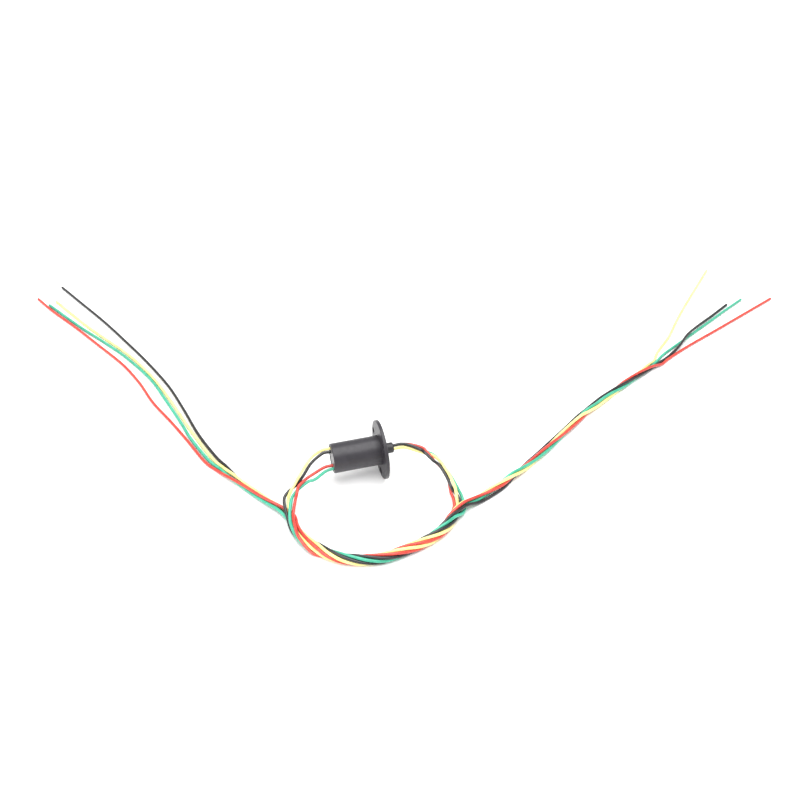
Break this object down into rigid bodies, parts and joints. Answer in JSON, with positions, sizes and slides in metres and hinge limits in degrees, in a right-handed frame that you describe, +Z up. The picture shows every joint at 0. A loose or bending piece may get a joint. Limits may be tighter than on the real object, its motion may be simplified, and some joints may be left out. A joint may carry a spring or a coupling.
{
  "type": "slip ring",
  "caption": "Miniature capsule slip ring with a round mounting flange, a turning nose and loose coloured leads at both ends.",
  "frame": {"origin": "centre of the flange's mounting hole circle, on the ring's axis at the flange's seat face", "axes": "+X along the ring's axis towards the rotor's nose, +Z up from the table that the unit lies on, which is at Z = -22 mm"},
  "size_m": [0.6538, 0.4073, 0.044],
  "materials": {
    "housing_plastic": "satin moulded",
    "cap_plastic": "satin moulded",
    "sealing_compound": "cured resin",
    "inner_plastic": "moulded",
    "brush_board": "glass-fibre board",
    "gold_plate": "gold plated",
    "rotor_plastic": "satin moulded",
    "barrier_plastic": "moulded",
    "bearing_steel": "ground",
    "cage_metal": "pressed",
    "red_insulation": "extruded",
    "yellow_insulation": "extruded",
    "green_insulation": "extruded",
    "black_insulation": "extruded"
  },
  "bodies": {
    "stator": {"housing": "housing_plastic", "tail_cap": "cap_plastic", "upper_lead_seal": "sealing_compound", "lower_lead_seal": "sealing_compound", "tail_potting": "sealing_compound", "bearing_plate": "inner_plastic", "upper_brush_block": "brush_board", "lower_brush_block": "brush_board", "upper_terminals": "gold_plate", "lower_terminals": "gold_plate", "red_brush": "gold_plate", "yellow_brush": "gold_plate", "green_brush": "gold_plate", "black_brush": "gold_plate", "front_outer_race": "bearing_steel", "rear_outer_race": "bearing_steel", "stator_lead_red": "red_insulation", "stator_lead_yellow": "yellow_insulation", "stator_lead_green": "green_insulation", "stator_lead_black": "black_insulation", "rotor_lead_red": "red_insulation", "rotor_lead_yellow": "yellow_insulation", "rotor_lead_green": "green_insulation", "rotor_lead_black": "black_insulation"},
    "rotor": {"rotor_shaft": "rotor_plastic", "nose_seal": "sealing_compound", "red_ring": "gold_plate", "yellow_ring": "gold_plate", "green_ring": "gold_plate", "black_ring": "gold_plate", "barrier_1": "barrier_plastic", "barrier_2": "barrier_plastic", "barrier_3": "barrier_plastic", "barrier_4": "barrier_plastic", "barrier_5": "barrier_plastic", "red_tail": "red_insulation", "yellow_tail": "yellow_insulation", "green_tail": "green_insulation", "black_tail": "black_insulation", "front_inner_race": "bearing_steel", "rear_inner_race": "bearing_steel"},
    "front_bearing_balls": {"front_balls": "bearing_steel", "front_cage": "cage_metal"},
    "rear_bearing_balls": {"rear_balls": "bearing_steel", "rear_cage": "cage_metal"}
  },
  "joints": [
    {"name": "rotor_spin", "type": "hinge", "parent": "stator", "child": "rotor", "pos_m": [0, 0, 0], "axis": [1, 0, 0], "continuous": true},
    {"name": "front_balls_spin", "type": "hinge", "parent": "stator", "child": "front_bearing_balls", "pos_m": [0, 0, 0], "axis": [1, 0, 0], "continuous": true},
    {"name": "rear_balls_spin", "type": "hinge", "parent": "stator", "child": "rear_bearing_balls", "pos_m": [0, 0, 0], "axis": [1, 0, 0], "continuous": true}
  ],
  "couplings": [
    {"joint": "front_balls_spin", "follows": "rotor_spin", "ratio": 0.4167},
    {"joint": "rear_balls_spin", "follows": "rotor_spin", "ratio": 0.4133}
  ]
}
